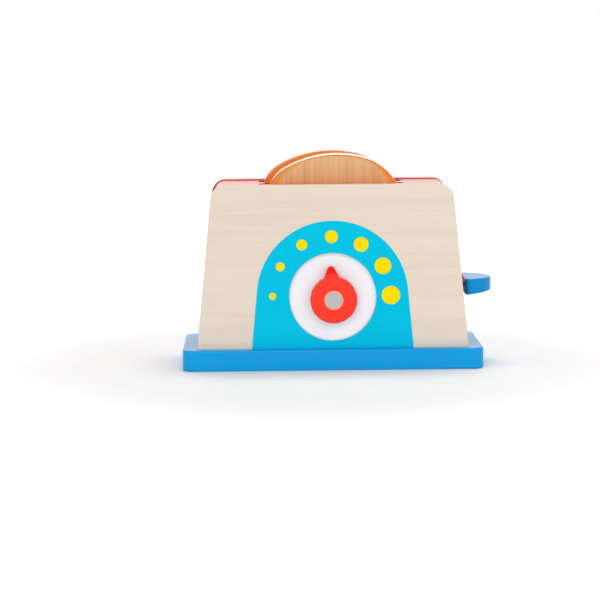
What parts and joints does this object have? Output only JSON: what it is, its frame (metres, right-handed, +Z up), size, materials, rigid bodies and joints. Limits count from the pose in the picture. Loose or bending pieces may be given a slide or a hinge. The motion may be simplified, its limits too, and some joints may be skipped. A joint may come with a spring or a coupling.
{
  "type": "toy toaster",
  "caption": "Wooden toy toaster with lift-out bread slices, a spring-loaded lever that lowers them and a turning dial.",
  "frame": {"origin": "centre of the base board's underside", "axes": "+X towards the lever, the front with the dial faces -Y, +Z up"},
  "size_m": [0.2242, 0.093, 0.1545],
  "materials": {
    "blue_paint": "gloss paint on board",
    "plywood": "clear satin lacquer over pale plywood",
    "red_paint": "gloss paint on board",
    "bare_wood": "sanded, unfinished",
    "dowel": "sanded, unfinished",
    "spring_steel": "drawn wire",
    "felt": "pressed felt",
    "zinc": "zinc plated",
    "lever_paint": "gloss paint",
    "white_paint": "satin paint",
    "knob_paint": "gloss paint",
    "bolt_metal": "satin metal",
    "washer_fibre": "matt",
    "cyan_print": "screen print",
    "yellow_print": "screen print",
    "toast_wood": "clear lacquer with a painted crust"
  },
  "bodies": {
    "housing": {"base_board": "blue_paint", "front_panel": "plywood", "rear_panel": "plywood", "left_end_board": "red_paint", "right_end_board": "red_paint", "top_board": "red_paint", "lane_divider": "bare_wood", "guide_rod_left": "dowel", "guide_rod_right": "dowel", "spring_left": "spring_steel", "spring_right": "spring_steel", "stop_blocks": "bare_wood", "stop_felts": "felt", "glue_blocks": "bare_wood", "base_screws": "zinc", "dial_plate": "white_paint", "dial_bolt": "bolt_metal", "dial_washer": "washer_fibre", "inner_washer": "zinc", "dial_nut": "zinc", "scale_print": "cyan_print", "dot_print": "yellow_print"},
    "carriage": {"carriage_board": "bare_wood", "lever_arm": "bare_wood", "arm_pins": "dowel", "lever_paddle": "lever_paint"},
    "dial": {"dial_knob": "knob_paint"},
    "front_slice": {"toast_front": "toast_wood"},
    "rear_slice": {"toast_rear": "toast_wood"}
  },
  "joints": [
    {"name": "lever_press", "type": "slide", "parent": "housing", "child": "carriage", "axis": [0, 0, -1], "range_m": [0, 0.028], "stiffness_N_per_m": 250, "springref_m": -0.012, "deforming": ["spring_left", "spring_right"]},
    {"name": "dial_turn", "type": "hinge", "parent": "housing", "child": "dial", "pos_m": [0.0005, -0.041, 0.05], "axis": [0, 1, 0], "range_deg": [-85, 95]},
    {"name": "front_slice_lift", "type": "slide", "parent": "carriage", "child": "front_slice", "axis": [0, 0, 1], "range_m": [0, 0.11]},
    {"name": "rear_slice_lift", "type": "slide", "parent": "carriage", "child": "rear_slice", "axis": [0, 0, 1], "range_m": [0, 0.11]}
  ]
}
